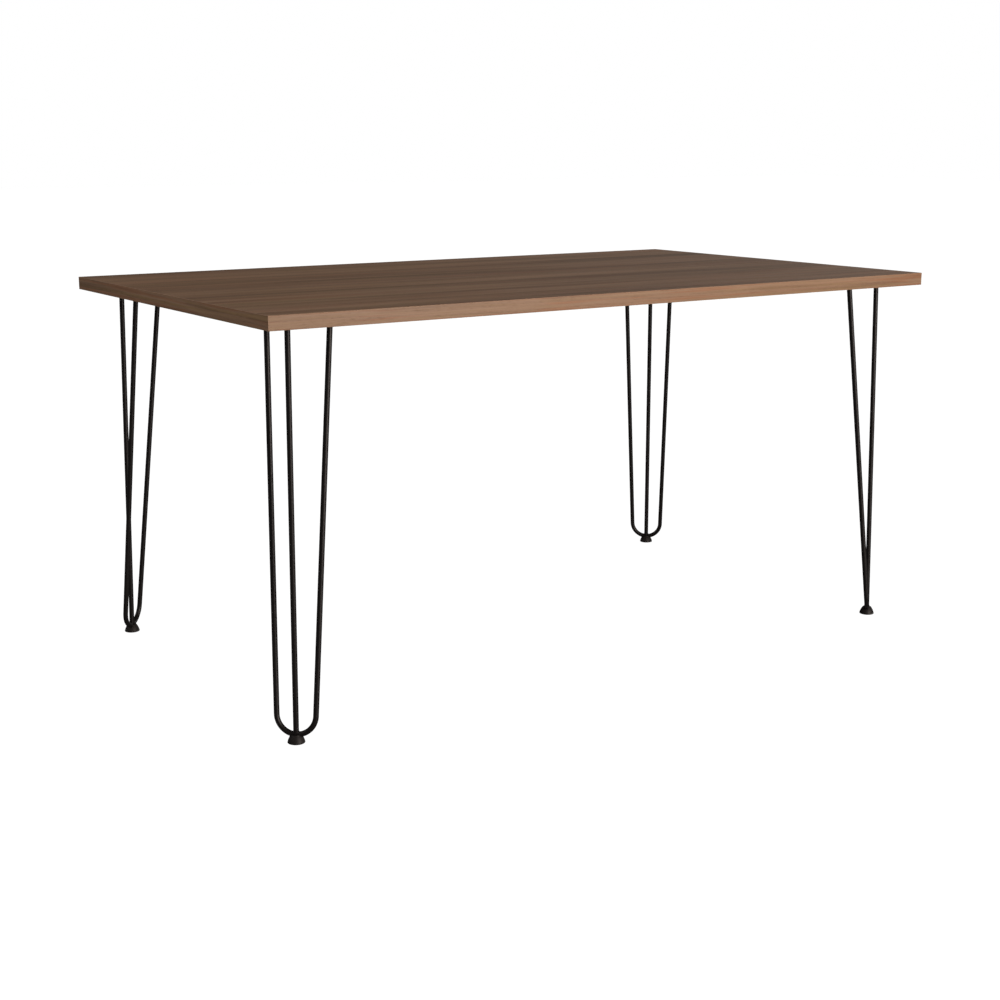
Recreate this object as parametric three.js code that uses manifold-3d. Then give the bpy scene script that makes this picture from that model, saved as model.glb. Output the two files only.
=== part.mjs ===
// A dining table: a wood-faced board with banded edges, carried by four three-rod hairpin legs.
// Millimetres, +Z up. The origin is on the floor, under the middle of the top.
// -Y is the front of the table and -X its left.

import * as THREE from 'three';
import { mergeVertices } from 'three/addons/utils/BufferGeometryUtils.js';
import Module from 'manifold-3d';

// Overall sizes
const TABLE_HEIGHT = 745;
const TOP_LENGTH = 1500;
const TOP_WIDTH = 880;
const TOP_THICKNESS = 25;

// Make-up of the top: a core board, a decor sheet on each face, a band on each edge
const SHEET_THICKNESS = 0.8;
const BAND_THICKNESS = 1;
const GLUE_LINE = 0.1;

// Clearances
const SEAT_GAP = 0.3; // between leg pieces that rest on, or are welded to, one another
const HOLE_GAP = 0.3; // between a screw and the hole it passes through

// Mounting plates: an L of two arms with a gusset in the corner between them
const PLATE_THICKNESS = 3;
const PLATE_INSET = 45; // from the table's edges to the plate
const ARM_WIDTH = 40;
const GUSSET_REACH = 38;
const PLATE_CORNER_TRIM = 7;

// Rods of a leg: one bent like a hairpin, and a straight one behind it
const ROD_DIAMETER = 10;
const ROD_SPAN = 78.5; // along an arm, from the centre rod to an end of the hairpin
const BEND_RADIUS = 35.5; // of the hairpin's centre line
const FOOT_INSET = 54; // from the table's edges to the axis of the foot

// Feet: caps that the bends sit in
const FOOT_BASE_DIAMETER = 31;
const FOOT_WALL = 4.2; // on each side of the rod, at the top of the foot
const FOOT_SOLE = 9.2; // under the rod
const FOOT_LIP = 0.5; // above the rod's centre line
const FOOT_BASE_ROUND = 0.8;
const FOOT_SHOULDER_INSET = 1.9; // the side's bulge, from the base diameter
const FOOT_SHOULDER_DROP = 6; // the side's bulge, from the top of the foot

// Countersunk wood screws
const SCREW_DIAMETER = 4.5;
const SCREW_HEAD_DIAMETER = 9;
const SCREW_HEAD_RIM = 0.3;
const SCREW_TIP_LENGTH = 4;
const SCREW_COVER = 8; // board left above the tip
const END_HOLE_OFFSET = 14.5; // beyond a hairpin end
const END_HOLE_MARGIN = 10; // from the last hole to the end of the arm
const GUSSET_HOLE_OFFSET = 27; // from the arms' centre lines

// Facets
const ROD_SIDES = 16;
const BEND_STEPS = 14;
const ROUND_SIDES = 32;
const SCREW_SIDES = 12;
const CORNER_STEPS = 4;

// Sizes that follow from the ones above
const undersideZ = TABLE_HEIGHT - TOP_THICKNESS;
const plateTopZ = undersideZ - SEAT_GAP;
const plateBottomZ = plateTopZ - PLATE_THICKNESS;
const rodTopZ = plateBottomZ - SEAT_GAP;
const rodRadius = ROD_DIAMETER / 2;
const bendLowZ = FOOT_SOLE + SEAT_GAP + rodRadius;
const footHeight = bendLowZ + FOOT_LIP;
const armCentre = PLATE_INSET + ARM_WIDTH / 2;
const hairpinReach = armCentre + ROD_SPAN;
const endHoleReach = hairpinReach + END_HOLE_OFFSET;
const armEnd = endHoleReach + END_HOLE_MARGIN;
const screwLength = TOP_THICKNESS + SEAT_GAP + PLATE_THICKNESS - SCREW_COVER;

// Legs: where each stands, and its quarter turns about Z, so that a leg's own +X and +Y point inwards
const LEGS = [
  { name: 'front_left', x: -1, y: -1, quarterTurns: 0 },
  { name: 'front_right', x: 1, y: -1, quarterTurns: 1 },
  { name: 'back_right', x: 1, y: 1, quarterTurns: 2 },
  { name: 'back_left', x: -1, y: 1, quarterTurns: 3 },
];

const wasm = await Module();
wasm.setup();

// Solids

function toSolid(geometry) {
  const bare = geometry.clone();
  bare.deleteAttribute('normal');
  bare.deleteAttribute('uv');
  const merged = mergeVertices(bare, 1e-3);
  return new wasm.Manifold(new wasm.Mesh({
    numProp: 3,
    vertProperties: merged.getAttribute('position').array,
    triVerts: new Uint32Array(merged.index.array),
  }));
}

function toGeometry(solid) {
  const { vertProperties, triVerts } = solid.getMesh();
  const geometry = new THREE.BufferGeometry();
  geometry.setAttribute('position', new THREE.BufferAttribute(vertProperties, 3));
  geometry.setIndex(new THREE.BufferAttribute(triVerts, 1));
  geometry.computeVertexNormals();
  return geometry;
}

function cut(geometry, cutters) {
  const body = cutters.reduce((rest, cutter) => rest.subtract(toSolid(cutter)), toSolid(geometry));
  return toGeometry(body);
}

// A box between two corners
function slab(low, high) {
  const size = high.clone().sub(low);
  const centre = low.clone().add(high).multiplyScalar(0.5);
  return new THREE.BoxGeometry(size.x, size.y, size.z).translate(centre.x, centre.y, centre.z);
}

// A turned piece: its profile runs from the bottom to the top, as [radius, height]
function turned(profile, sides) {
  const points = profile.map(([radius, height]) => new THREE.Vector2(radius, height));
  return new THREE.LatheGeometry(points, sides).rotateX(Math.PI / 2);
}

// A closed outline with every corner rounded off over the given length of each edge
function roundedOutline(corners, trim) {
  const shape = new THREE.Shape();
  corners.forEach((corner, i) => {
    const before = corners[(i + corners.length - 1) % corners.length];
    const after = corners[(i + 1) % corners.length];
    const start = corner.clone().add(before.clone().sub(corner).setLength(trim));
    const end = corner.clone().add(after.clone().sub(corner).setLength(trim));
    if (i === 0) shape.moveTo(start.x, start.y);
    else shape.lineTo(start.x, start.y);
    shape.quadraticCurveTo(corner.x, corner.y, end.x, end.y);
  });
  shape.closePath();
  return shape;
}

// A mesh with its own material
function piece(name, geometry, look) {
  const mesh = new THREE.Mesh(geometry, new THREE.MeshStandardMaterial(look));
  mesh.name = name;
  return mesh;
}

// Materials

const faceLook = () => ({ color: 0x7a6250, roughness: 0.55, metalness: 0 });
const bandLook = () => ({ color: 0x9a7a62, roughness: 0.6, metalness: 0 });
const coreLook = () => ({ color: 0xb89b74, roughness: 0.9, metalness: 0 });
const blackSteelLook = () => ({ color: 0x191615, roughness: 0.42, metalness: 0.6 });
const footLook = () => ({ color: 0x1d1b1a, roughness: 0.6, metalness: 0 });
const screwLook = () => ({ color: 0x2a2a2c, roughness: 0.35, metalness: 0.9 });

// The top

// Screw holes of one leg, in the leg's own corner frame
function screwPlaces() {
  const middle = armCentre + ROD_SPAN / 2;
  const gusset = armCentre + GUSSET_HOLE_OFFSET;
  return [
    new THREE.Vector2(middle, armCentre),
    new THREE.Vector2(armCentre, middle),
    new THREE.Vector2(endHoleReach, armCentre),
    new THREE.Vector2(armCentre, endHoleReach),
    new THREE.Vector2(gusset, gusset),
  ];
}

function legFrame(leg) {
  const frame = new THREE.Group();
  frame.position.set(leg.x * TOP_LENGTH / 2, leg.y * TOP_WIDTH / 2, 0);
  frame.rotation.z = leg.quarterTurns * Math.PI / 2;
  frame.updateMatrixWorld(true);
  return frame;
}

// Pilot holes of all the screws, from below the underside to just past the tips
function pilotHoles() {
  const radius = SCREW_DIAMETER / 2 + HOLE_GAP;
  const bottom = plateBottomZ;
  const top = plateBottomZ + screwLength + HOLE_GAP;
  return LEGS.flatMap((leg) => {
    const frame = legFrame(leg);
    return screwPlaces().map((place) => {
      const spot = frame.localToWorld(new THREE.Vector3(place.x, place.y, 0));
      return turned([[0, bottom], [radius, bottom], [radius, top], [0, top]], SCREW_SIDES)
        .translate(spot.x, spot.y, 0);
    });
  });
}

function buildTop() {
  const halfLength = TOP_LENGTH / 2;
  const halfWidth = TOP_WIDTH / 2;
  const innerLength = halfLength - BAND_THICKNESS;
  const innerWidth = halfWidth - BAND_THICKNESS;
  const boardLength = innerLength - GLUE_LINE;
  const boardWidth = innerWidth - GLUE_LINE;
  const coreLow = undersideZ + SHEET_THICKNESS + GLUE_LINE;
  const coreHigh = TABLE_HEIGHT - SHEET_THICKNESS - GLUE_LINE;
  const layer = (low, high) => slab(
    new THREE.Vector3(-boardLength, -boardWidth, low),
    new THREE.Vector3(boardLength, boardWidth, high),
  );
  const longBand = (side) => slab(
    new THREE.Vector3(-halfLength, Math.min(side * innerWidth, side * halfWidth), undersideZ),
    new THREE.Vector3(halfLength, Math.max(side * innerWidth, side * halfWidth), TABLE_HEIGHT),
  );
  const shortBand = (side) => slab(
    new THREE.Vector3(Math.min(side * innerLength, side * halfLength), -boardWidth, undersideZ),
    new THREE.Vector3(Math.max(side * innerLength, side * halfLength), boardWidth, TABLE_HEIGHT),
  );
  const holes = pilotHoles();
  const top = new THREE.Group();
  top.add(piece('core_board', cut(layer(coreLow, coreHigh), holes), coreLook()));
  top.add(piece('face_sheet', layer(TABLE_HEIGHT - SHEET_THICKNESS, TABLE_HEIGHT), faceLook()));
  top.add(piece('underside_sheet', cut(layer(undersideZ, undersideZ + SHEET_THICKNESS), holes), faceLook()));
  top.add(piece('edge_band_front', longBand(-1), bandLook()));
  top.add(piece('edge_band_back', longBand(1), bandLook()));
  top.add(piece('edge_band_left', shortBand(-1), bandLook()));
  top.add(piece('edge_band_right', shortBand(1), bandLook()));
  return top;
}

// The legs

// A countersunk screw's profile, from its head at the bottom to its tip, grown by a clearance
function screwProfile(clearance) {
  const shank = SCREW_DIAMETER / 2 + clearance;
  const head = SCREW_HEAD_DIAMETER / 2 + clearance;
  const coneTop = SCREW_HEAD_RIM + head - shank;
  return { shank, head, coneTop };
}

function screwGeometry() {
  const { shank, head, coneTop } = screwProfile(0);
  return turned([
    [0, 0],
    [head, 0],
    [head, SCREW_HEAD_RIM],
    [shank, coneTop],
    [shank, screwLength - SCREW_TIP_LENGTH],
    [0, screwLength],
  ], SCREW_SIDES).translate(0, 0, plateBottomZ);
}

// A countersunk hole, which runs past both faces of the plate
function countersink(place) {
  const { shank, head, coneTop } = screwProfile(HOLE_GAP);
  const above = PLATE_THICKNESS + HOLE_GAP;
  return turned([
    [0, -HOLE_GAP],
    [head, -HOLE_GAP],
    [head, SCREW_HEAD_RIM],
    [shank, coneTop],
    [shank, above],
    [0, above],
  ], SCREW_SIDES).translate(place.x, place.y, plateBottomZ);
}

function plateGeometry() {
  const near = PLATE_INSET;
  const inner = PLATE_INSET + ARM_WIDTH;
  const gusset = inner + GUSSET_REACH;
  const outline = roundedOutline([
    new THREE.Vector2(near, near),
    new THREE.Vector2(armEnd, near),
    new THREE.Vector2(armEnd, inner),
    new THREE.Vector2(gusset, inner),
    new THREE.Vector2(inner, gusset),
    new THREE.Vector2(inner, armEnd),
    new THREE.Vector2(near, armEnd),
  ], PLATE_CORNER_TRIM);
  const blank = new THREE.ExtrudeGeometry(outline, {
    depth: PLATE_THICKNESS,
    bevelEnabled: false,
    curveSegments: CORNER_STEPS,
  }).translate(0, 0, plateBottomZ);
  return cut(blank, screwPlaces().map(countersink));
}

// A point on the line from one point through another, a distance past the second
function beyond(from, to, distance) {
  return to.clone().add(to.clone().sub(from).setLength(distance));
}

// The hairpin's centre line: down one side, round the bend and up the other, in a plane that leans
// from the plate's arms out to the foot. Its ends run on past the plate's underside by a radius.
class HairpinLine extends THREE.Curve {
  constructor() {
    super();
    const firstTop = new THREE.Vector3(hairpinReach, armCentre, rodTopZ);
    const secondTop = new THREE.Vector3(armCentre, hairpinReach, rodTopZ);
    const low = new THREE.Vector3(FOOT_INSET, FOOT_INSET, bendLowZ);
    const middleTop = firstTop.clone().add(secondTop).multiplyScalar(0.5);
    this.across = secondTop.clone().sub(firstTop).normalize();
    this.up = middleTop.clone().sub(low).normalize();
    this.centre = low.clone().addScaledVector(this.up, BEND_RADIUS);
    const rise = middleTop.distanceTo(this.centre);
    const spread = firstTop.distanceTo(middleTop);
    const slope = Math.atan2(spread, rise) - Math.asin(BEND_RADIUS / Math.hypot(spread, rise));
    this.halfTurn = Math.PI / 2 - slope;
    this.firstEnd = beyond(this.onBend(0), firstTop, rodRadius);
    this.secondEnd = beyond(this.onBend(1), secondTop, rodRadius);
  }

  // A point of the bend, which runs from 0 at its first end to 1 at its second
  onBend(share) {
    const angle = (share * 2 - 1) * this.halfTurn;
    return this.centre.clone()
      .addScaledVector(this.across, Math.sin(angle) * BEND_RADIUS)
      .addScaledVector(this.up, -Math.cos(angle) * BEND_RADIUS);
  }

  // The first and the last step are the straight sides, and the steps between them the bend
  getPoint(t) {
    const step = t * (BEND_STEPS + 2);
    if (step < 1) return this.firstEnd.clone().lerp(this.onBend(0), step);
    if (step > BEND_STEPS + 1) return this.onBend(1).lerp(this.secondEnd, step - BEND_STEPS - 1);
    return this.onBend((step - 1) / BEND_STEPS);
  }

  getUtoTmapping(u) {
    return u;
  }
}

// A round bar along a curve
function bar(radius, path, steps) {
  return new THREE.ExtrudeGeometry(new THREE.Shape().absarc(0, 0, radius, 0, Math.PI * 2), {
    steps,
    curveSegments: ROD_SIDES / 2,
    extrudePath: path,
  });
}

function hairpinBar(radius) {
  return bar(radius, new HairpinLine(), BEND_STEPS + 2);
}

// What is sawn off the rods' tops, so that they meet the plate flat
function abovePlateLine() {
  return slab(
    new THREE.Vector3(0, 0, rodTopZ),
    new THREE.Vector3(armEnd * 2, armEnd * 2, rodTopZ + ROD_DIAMETER * 2),
  );
}

// The centre rod stands on the bottom of the bend, and its end is cut to the bend's shape
function centreRodGeometry() {
  const foot = new THREE.Vector3(FOOT_INSET, FOOT_INSET, bendLowZ);
  const top = new THREE.Vector3(armCentre, armCentre, rodTopZ);
  const line = new THREE.LineCurve3(foot, beyond(foot, top, rodRadius));
  return cut(bar(rodRadius, line, 1), [abovePlateLine(), hairpinBar(rodRadius + SEAT_GAP)]);
}

// A round cap with a bulging side and a groove on top for the bend
function footGeometry() {
  const baseRadius = FOOT_BASE_DIAMETER / 2;
  const side = new THREE.QuadraticBezierCurve(
    new THREE.Vector2(baseRadius, FOOT_BASE_ROUND),
    new THREE.Vector2(baseRadius - FOOT_SHOULDER_INSET, footHeight - FOOT_SHOULDER_DROP),
    new THREE.Vector2(rodRadius + FOOT_WALL, footHeight),
  );
  const profile = side.getPoints(CORNER_STEPS).map((point) => [point.x, point.y]);
  const blank = turned([
    [0, 0],
    [baseRadius - FOOT_BASE_ROUND, 0],
    ...profile,
    [0, footHeight],
  ], ROUND_SIDES).translate(FOOT_INSET, FOOT_INSET, 0);
  return cut(blank, [hairpinBar(rodRadius + SEAT_GAP)]);
}

function buildLeg(leg) {
  const frame = legFrame(leg);
  frame.add(piece(`mounting_plate_${leg.name}`, plateGeometry(), blackSteelLook()));
  frame.add(piece(`hairpin_rod_${leg.name}`, cut(hairpinBar(rodRadius), [abovePlateLine()]), blackSteelLook()));
  frame.add(piece(`centre_rod_${leg.name}`, centreRodGeometry(), blackSteelLook()));
  frame.add(piece(`foot_${leg.name}`, footGeometry(), footLook()));
  screwPlaces().forEach((place, i) => {
    const screw = piece(`screw_${leg.name}_${i + 1}`, screwGeometry(), screwLook());
    screw.position.set(place.x, place.y, 0);
    frame.add(screw);
  });
  return frame;
}

const table = new THREE.Group();
table.add(buildTop());
LEGS.forEach((leg) => table.add(buildLeg(leg)));

export default table;
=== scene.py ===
"""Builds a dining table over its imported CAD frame: a banded wood-grain board on black hairpin legs.

Metres, +Z up. The origin is on the floor under the middle of the top, -Y is the front and -X the left.
"""

import math
import random

import bmesh
import bpy
from mathutils import Matrix, Vector


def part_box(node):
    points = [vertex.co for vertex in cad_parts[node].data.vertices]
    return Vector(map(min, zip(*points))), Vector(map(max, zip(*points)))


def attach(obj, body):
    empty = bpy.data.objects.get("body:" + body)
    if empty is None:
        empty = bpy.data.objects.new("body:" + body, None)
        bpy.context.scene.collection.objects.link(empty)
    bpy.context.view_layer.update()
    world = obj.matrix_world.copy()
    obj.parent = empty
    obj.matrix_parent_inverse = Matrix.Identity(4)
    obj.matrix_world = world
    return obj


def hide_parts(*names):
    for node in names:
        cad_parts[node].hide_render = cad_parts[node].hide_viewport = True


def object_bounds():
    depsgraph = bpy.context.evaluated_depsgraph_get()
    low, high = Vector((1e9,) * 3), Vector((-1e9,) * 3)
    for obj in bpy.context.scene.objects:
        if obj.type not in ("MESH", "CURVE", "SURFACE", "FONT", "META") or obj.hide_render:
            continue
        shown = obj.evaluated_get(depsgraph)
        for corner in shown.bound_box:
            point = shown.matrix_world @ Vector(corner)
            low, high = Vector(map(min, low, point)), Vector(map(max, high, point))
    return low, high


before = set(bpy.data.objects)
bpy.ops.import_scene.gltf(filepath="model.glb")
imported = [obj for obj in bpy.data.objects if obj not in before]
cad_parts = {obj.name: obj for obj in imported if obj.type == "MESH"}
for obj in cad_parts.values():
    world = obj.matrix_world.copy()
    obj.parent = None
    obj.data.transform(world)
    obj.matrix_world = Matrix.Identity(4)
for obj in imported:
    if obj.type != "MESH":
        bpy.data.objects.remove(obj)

bl_info = {
    "name": "Hairpin Table",
    "version": (1, 0, 0),
    "blender": (4, 5, 0),
    "location": "View3D > Sidebar > Hairpin Table",
    "description": "A banded wood-grain board on black hairpin legs, over its CAD frame",
    "category": "Add Mesh",
}

CAD_LOW, CAD_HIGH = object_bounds()
BODY = "root"
LEGS = ("front_left", "front_right", "back_right", "back_left")
SIDES = ("front", "back", "left", "right")
SCREWS_PER_LEG = 5

# Distances in metres below which points are joined or count as level
MERGE = 1e-6
MERGE_COPY = 2e-6
TINY = 1e-7
LEVEL = 1e-5

# Angles above which an edge stays sharp
SHARP_ANGLE = math.radians(40)
SHARP_FOOT = math.radians(50)
SHARP_SCREW = math.radians(35)
CUT_ANGLE = math.radians(50)

# How finely round shapes are divided
ARRIS_STEPS = 4
EDGE_STEPS = 2
ROD_SIDES = 32
BEND_STEPS = 40
WELD_SIDES = 10
WELD_STEPS = 48
FOOT_STEPS = 64
SCREW_STEPS = 24
THREAD_STEPS = 16

# How much each layer of the grain adds to its tone
BANDS_SHARE = 0.22
RINGS_SHARE = 0.36
STREAKS_SHARE = 0.30
FIBRES_SHARE = 0.12

# How the grain wanders, and what pores and the painted highlight on rounded edges do to it
WANDER = (0.0, 0.03, 0.004)
PORE_TINT = (0.42, 0.36, 0.33, 1.0)
PORE_STRENGTH = 0.55
# Share of the light colour painted on rounded wood edges as a highlight
PAINTED_ARRIS_SHEEN = 0.85
FIBRE_ROUGHNESS = 0.10
PORE_ROUGHNESS = 0.12
STREAK_RELIEF = 0.35

# How much dust, wear and patches change the black coat
DUST_STRENGTH = 0.03
WORN_COAT = 0.06
PATCH_ROUGHNESS = 0.14

# Chips of the core in a metre along each axis
CHIPS = (170.0, 230.0, 900.0)

# Ripples round a weld, and shares of its size: a ripple's height, how far the bead stands below the plate
# and out from the rod, the size of the bead on the bend and how far it is lifted off the bend
WELD_RIPPLES = (11, 12, 13)
FOOT_WELD_RIPPLES = 11
WELD_SWELL = 0.16
WELD_DROP = 0.9
WELD_OUT = 0.3
FOOT_WELD = 0.55
FOOT_WELD_LIFT = 0.2

# Shares of the screw's sizes: its flat face, the chamfer of its rim, its blunt point and the recess's bottom
SCREW_FACE = 0.97
RIM_CHAMFER = 0.5
POINT_RADIUS = 0.5
POINT_HEIGHT = 0.4
RECESS_BOTTOM = (0.35, 0.6, 1.0)

# The screw thread: turns left off its end, half its foot in pitches, and how deep it starts in the core
THREAD_RUNOUT = 0.6
THREAD_HALF = 0.22
THREAD_SUNK = 0.92


# Settings


def length(name, default, description):
    return bpy.props.FloatProperty(
        name=name, description=description, default=default, min=0.0, precision=4, unit="LENGTH"
    )


def colour(name, default, description):
    return bpy.props.FloatVectorProperty(
        name=name, description=description, default=default, min=0.0, max=1.0, size=3, subtype="COLOR"
    )


def share(name, default, description):
    return bpy.props.FloatProperty(
        name=name, description=description, default=default, min=0.0, max=1.0, subtype="FACTOR"
    )


class BoardSettings(bpy.types.PropertyGroup):
    """Sizes and colours of the board, its sheets and its edge bands"""

    arris: length("Arris", 0.0009, "Radius of the rounded outer edges of the bands")
    wood_light: colour("Light wood", (0.50, 0.30, 0.185), "Colour of the pale grain")
    wood_middle: colour("Wood", (0.41, 0.236, 0.140), "Colour between the pale and the dark grain")
    wood_dark: colour("Dark wood", (0.27, 0.150, 0.086), "Colour of the dark grain")
    red_tint: colour("Red tint", (1.0, 0.84, 0.74), "What the reddish streaks are multiplied by")
    yellow_tint: colour("Yellow tint", (0.97, 0.97, 0.80), "What the yellowish streaks are multiplied by")
    chip_light: colour("Light chips", (0.66, 0.50, 0.33), "Colour of the core's pale chips")
    chip_dark: colour("Dark chips", (0.40, 0.27, 0.16), "Colour of the core's dark chips")
    band_calm: share("Band evenness", 0.45, "How much evener the long bands are than the sheets")
    roughness: share("Roughness", 0.46, "Roughness of the grain between its pores")


class LegSettings(bpy.types.PropertyGroup):
    """Sizes and colours of the plates, rods, welds and feet"""

    rod_diameter: length("Rod diameter", 0.010, "Diameter of the steel rod")
    bend_radius: length("Bend radius", 0.0355, "Radius of the bend's centre line")
    arm_width: length("Arm width", 0.040, "Width of an arm of the mounting plate")
    rod_span: length("Rod span", 0.0785, "Distance along an arm from the centre rod to the hairpin")
    seat_gap: length("Seat gap", 0.0003, "Gap between pieces that are welded or pushed together")
    weld_radius: length("Weld size", 0.0019, "Radius of a weld bead's section")
    plate_edge: length("Plate edge", 0.0004, "Rounding of the plate's cut edges")
    foot_wall: length("Foot wall", 0.0042, "Wall of the foot on each side of the rod")
    foot_round: length("Foot rounding", 0.0010, "Rounding of the foot's base and rim")
    shoulder_inset: length("Shoulder inset", 0.0019, "Inset of the foot's bulge from its base")
    shoulder_drop: length("Shoulder drop", 0.006, "Drop of the foot's bulge from its top")
    steel: colour("Powder coat", (0.0075, 0.0058, 0.0053), "Colour of the rods and plates")
    plastic: colour("Foot", (0.016, 0.013, 0.0115), "Colour of the feet")
    gloss_tint: colour("Gloss tint", (1.0, 0.90, 0.86), "Warm tint of what the black parts reflect")
    zinc: colour("Screws", (0.055, 0.055, 0.06), "Colour of the blackened screws")


class ScrewSettings(bpy.types.PropertyGroup):
    """Sizes of the countersunk wood screws"""

    shank: length("Shank diameter", 0.0045, "Diameter over the thread")
    core: length("Core diameter", 0.0030, "Diameter under the thread")
    rim: length("Head rim", 0.0003, "Height of the head's straight rim")
    tip: length("Tip length", 0.0040, "Length of the pointed tip")
    pitch: length("Thread pitch", 0.0018, "Rise of the thread in one turn")
    slot_width: length("Recess width", 0.0011, "Width of an arm of the cross recess")
    slot_span: length("Recess span", 0.0052, "Span of the cross recess at the head")
    slot_depth: length("Recess depth", 0.0019, "Depth of the cross recess")


class StageSettings(bpy.types.PropertyGroup):
    """The camera, the lights and the floor"""

    eye: bpy.props.FloatVectorProperty(
        name="Camera place", description="Where the camera stands",
        default=(-1.8471, -2.7493, 1.0193), size=3, subtype="XYZ", unit="LENGTH",
    )
    heading: bpy.props.FloatProperty(
        name="Heading", description="Turn of the camera from +Y towards +X",
        default=math.radians(33.667), subtype="ANGLE",
    )
    tilt: bpy.props.FloatProperty(
        name="Tilt", description="Tilt of the camera below the horizon",
        default=math.radians(12.756), subtype="ANGLE",
    )
    lens: bpy.props.FloatProperty(
        name="Lens", description="Focal length on a 36 mm wide sensor",
        default=57.56, min=1.0, unit="CAMERA",
    )
    floor_size: length("Floor size", 60.0, "Side of the floor")
    backdrop: colour("Backdrop", (1.0, 1.0, 1.0), "What shows behind the table")
    floor_colour: colour("Floor", (0.27, 0.27, 0.27), "Colour of the floor")
    floor_glow: share("Floor glow", 0.97, "Brightness that the floor shows by itself")
    sky: share("Sky", 0.255, "Brightness of the light from all round")
    dim_wall: share("Dim wall", 0.05, "Brightness that gloss reflects from the front left")
    bright_wall: share("Bright wall", 0.42, "Brightness that gloss reflects from the back right")
    bright_side: bpy.props.FloatVectorProperty(
        name="Bright side", description="Direction in which the bright wall stands",
        default=(0.966, 0.259, 0.0), size=3, subtype="XYZ",
    )
    wall_start: share("Wall start", 0.60, "Closeness to the bright side where the wall begins")
    wall_full: share("Wall full", 0.95, "Closeness to the bright side where the wall is brightest")
    fill_power: bpy.props.FloatProperty(
        name="Fill light", description="Power of the weak soft light high at the left",
        default=19.0, min=0.0, unit="POWER",
    )
    fill_place: bpy.props.FloatVectorProperty(
        name="Fill place", description="Where the middle of the fill light is",
        default=(-4.2, 0.6, 3.2), size=3, subtype="XYZ", unit="LENGTH",
    )
    key_tint: colour("Key tint", (1.0, 0.96, 0.93), "Colour of the key light")
    key_power: bpy.props.FloatProperty(
        name="Key light", description="Power of the large soft light at the front right",
        default=141.0, min=0.0, unit="POWER",
    )
    key_place: bpy.props.FloatVectorProperty(
        name="Key place", description="Where the middle of the key light is",
        default=(0.95, -4.7, 0.95), size=3, subtype="XYZ", unit="LENGTH",
    )
    light_size: length("Light size", 2.4, "Side of both lights")


class TableSettings(bpy.types.PropertyGroup):
    """All the settings of the table"""

    board: bpy.props.PointerProperty(type=BoardSettings, name="Board", description="The top")
    legs: bpy.props.PointerProperty(type=LegSettings, name="Legs", description="The four legs")
    screws: bpy.props.PointerProperty(type=ScrewSettings, name="Screws", description="The wood screws")
    stage: bpy.props.PointerProperty(type=StageSettings, name="Stage", description="Camera, lights, floor")


def settings():
    return bpy.context.scene.hairpin_table


# Shader nodes


def node(tree, kind, place=(0, 0), **values):
    made = tree.nodes.new(kind)
    made.location = (place[0] * 200, place[1] * 200)
    for key, value in values.items():
        setattr(made, key, value)
    return made


def fill(made, **values):
    """Sets a node's input sockets by name, where an underscore stands for a space."""
    for key, value in values.items():
        made.inputs[key.replace("_", " ")].default_value = value
    return made


def maths(tree, operation, first, second, place=(0, 0), clamp=False):
    made = node(tree, "ShaderNodeMath", place, operation=operation, use_clamp=clamp)
    for socket, value in zip(made.inputs, (first, second)):
        if isinstance(value, bpy.types.NodeSocket):
            tree.links.new(value, socket)
        else:
            socket.default_value = value
    return made.outputs[0]


def stretched_noise(tree, vector, scale, detail, roughness=0.5, offset=(0.0, 0.0, 0.0), place=(0, 0)):
    """Noise of a vector that is first scaled by its own amount along each axis."""
    mapping = node(tree, "ShaderNodeMapping", place)
    fill(mapping, Scale=scale, Location=offset)
    tree.links.new(vector, mapping.inputs["Vector"])
    noise = node(tree, "ShaderNodeTexNoise", (place[0] + 1, place[1]))
    fill(noise, Scale=1.0, Detail=detail, Roughness=roughness)
    tree.links.new(mapping.outputs[0], noise.inputs["Vector"])
    return noise.outputs["Fac"]


def remap(tree, value, low, high, to_low=0.0, to_high=1.0, place=(0, 0)):
    made = node(tree, "ShaderNodeMapRange", place, interpolation_type="SMOOTHSTEP")
    fill(made, From_Min=low, From_Max=high, To_Min=to_low, To_Max=to_high)
    tree.links.new(value, made.inputs["Value"])
    return made.outputs[0]


def blend_colours(tree, factor, first, second, place=(0, 0), mode="MIX"):
    made = node(tree, "ShaderNodeMix", place, data_type="RGBA", blend_type=mode)
    for socket, value in ((made.inputs[0], factor), (made.inputs[6], first), (made.inputs[7], second)):
        if isinstance(value, bpy.types.NodeSocket):
            tree.links.new(value, socket)
        else:
            socket.default_value = value
    return made.outputs[2]


def new_group(name, inputs, outputs):
    """An empty shader group with its sockets, and its input and output nodes."""
    tree = bpy.data.node_groups.new(name, "ShaderNodeTree")
    for label, kind, default in inputs:
        socket = tree.interface.new_socket(name=label, in_out="INPUT", socket_type=kind)
        if default is not None:
            socket.default_value = default
    for label, kind in outputs:
        tree.interface.new_socket(name=label, in_out="OUTPUT", socket_type=kind)
    return tree, node(tree, "NodeGroupInput", (-6, 0)), node(tree, "NodeGroupOutput", (8, 0))


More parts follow.
